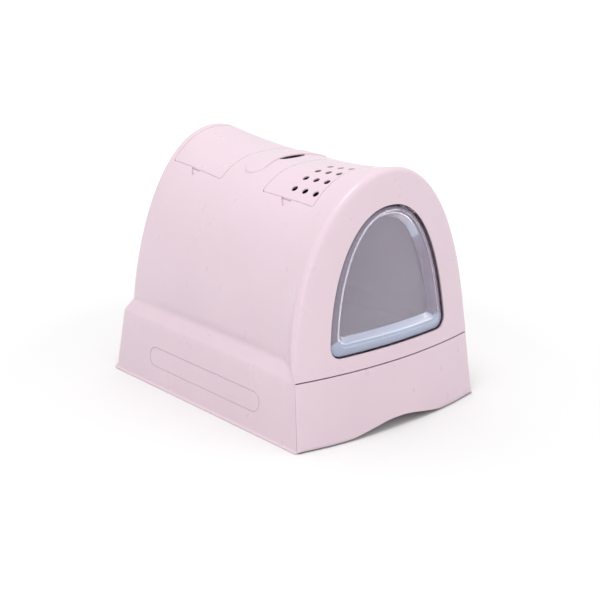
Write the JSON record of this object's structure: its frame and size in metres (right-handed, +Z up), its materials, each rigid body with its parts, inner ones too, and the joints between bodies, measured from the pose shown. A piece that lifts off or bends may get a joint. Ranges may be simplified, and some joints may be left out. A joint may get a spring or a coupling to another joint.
{
  "type": "cat litter box with hood",
  "caption": "Hooded cat litter box in pale pink plastic with a clear swinging door, a pull-out litter drawer, two roof lids and a carrying grip.",
  "frame": {"origin": "middle of the footprint on the floor", "axes": "+X to the right seen from the front, +Y from the front towards the rear, +Z up; the entrance faces -Y"},
  "size_m": [0.4, 0.556, 0.425],
  "materials": {
    "shell_plastic": "satin",
    "inner_plastic": "satin",
    "clear_plastic": "gloss",
    "carbon_pad": "matte"
  },
  "bodies": {
    "hood": {"hood_shell": "shell_plastic", "carry_handle": "shell_plastic", "left_door_socket": "inner_plastic", "right_door_socket": "inner_plastic", "left_drawer_rail": "inner_plastic", "right_drawer_rail": "inner_plastic", "vent_lid_lugs": "inner_plastic", "vent_lid_pin": "inner_plastic", "storage_lid_lugs": "inner_plastic", "storage_lid_pin": "inner_plastic", "filter_holder": "inner_plastic", "carbon_filter": "carbon_pad", "storage_bin": "inner_plastic"},
    "door": {"door_flap": "clear_plastic", "left_door_pin": "clear_plastic", "right_door_pin": "clear_plastic"},
    "drawer": {"drawer_front": "shell_plastic", "litter_pan": "inner_plastic"},
    "front_lid": {"vent_lid": "shell_plastic", "vent_lid_knuckles": "inner_plastic"},
    "rear_lid": {"storage_lid": "shell_plastic", "storage_lid_knuckles": "inner_plastic"}
  },
  "joints": [
    {"name": "door_swing", "type": "hinge", "parent": "hood", "child": "door", "pos_m": [0, -0.23967, 0.352], "axis": [1, 0, 0], "range_deg": [-45, 65]},
    {"name": "drawer_slide", "type": "slide", "parent": "hood", "child": "drawer", "axis": [0, -1, 0], "range_m": [0, 0.42]},
    {"name": "front_lid_hinge", "type": "hinge", "parent": "hood", "child": "front_lid", "pos_m": [0.1072, -0.122, 0.3665], "axis": [0, 1, 0], "range_deg": [0, 105]},
    {"name": "rear_lid_hinge", "type": "hinge", "parent": "hood", "child": "rear_lid", "pos_m": [0.1072, 0.121, 0.3665], "axis": [0, 1, 0], "range_deg": [0, 105]}
  ]
}
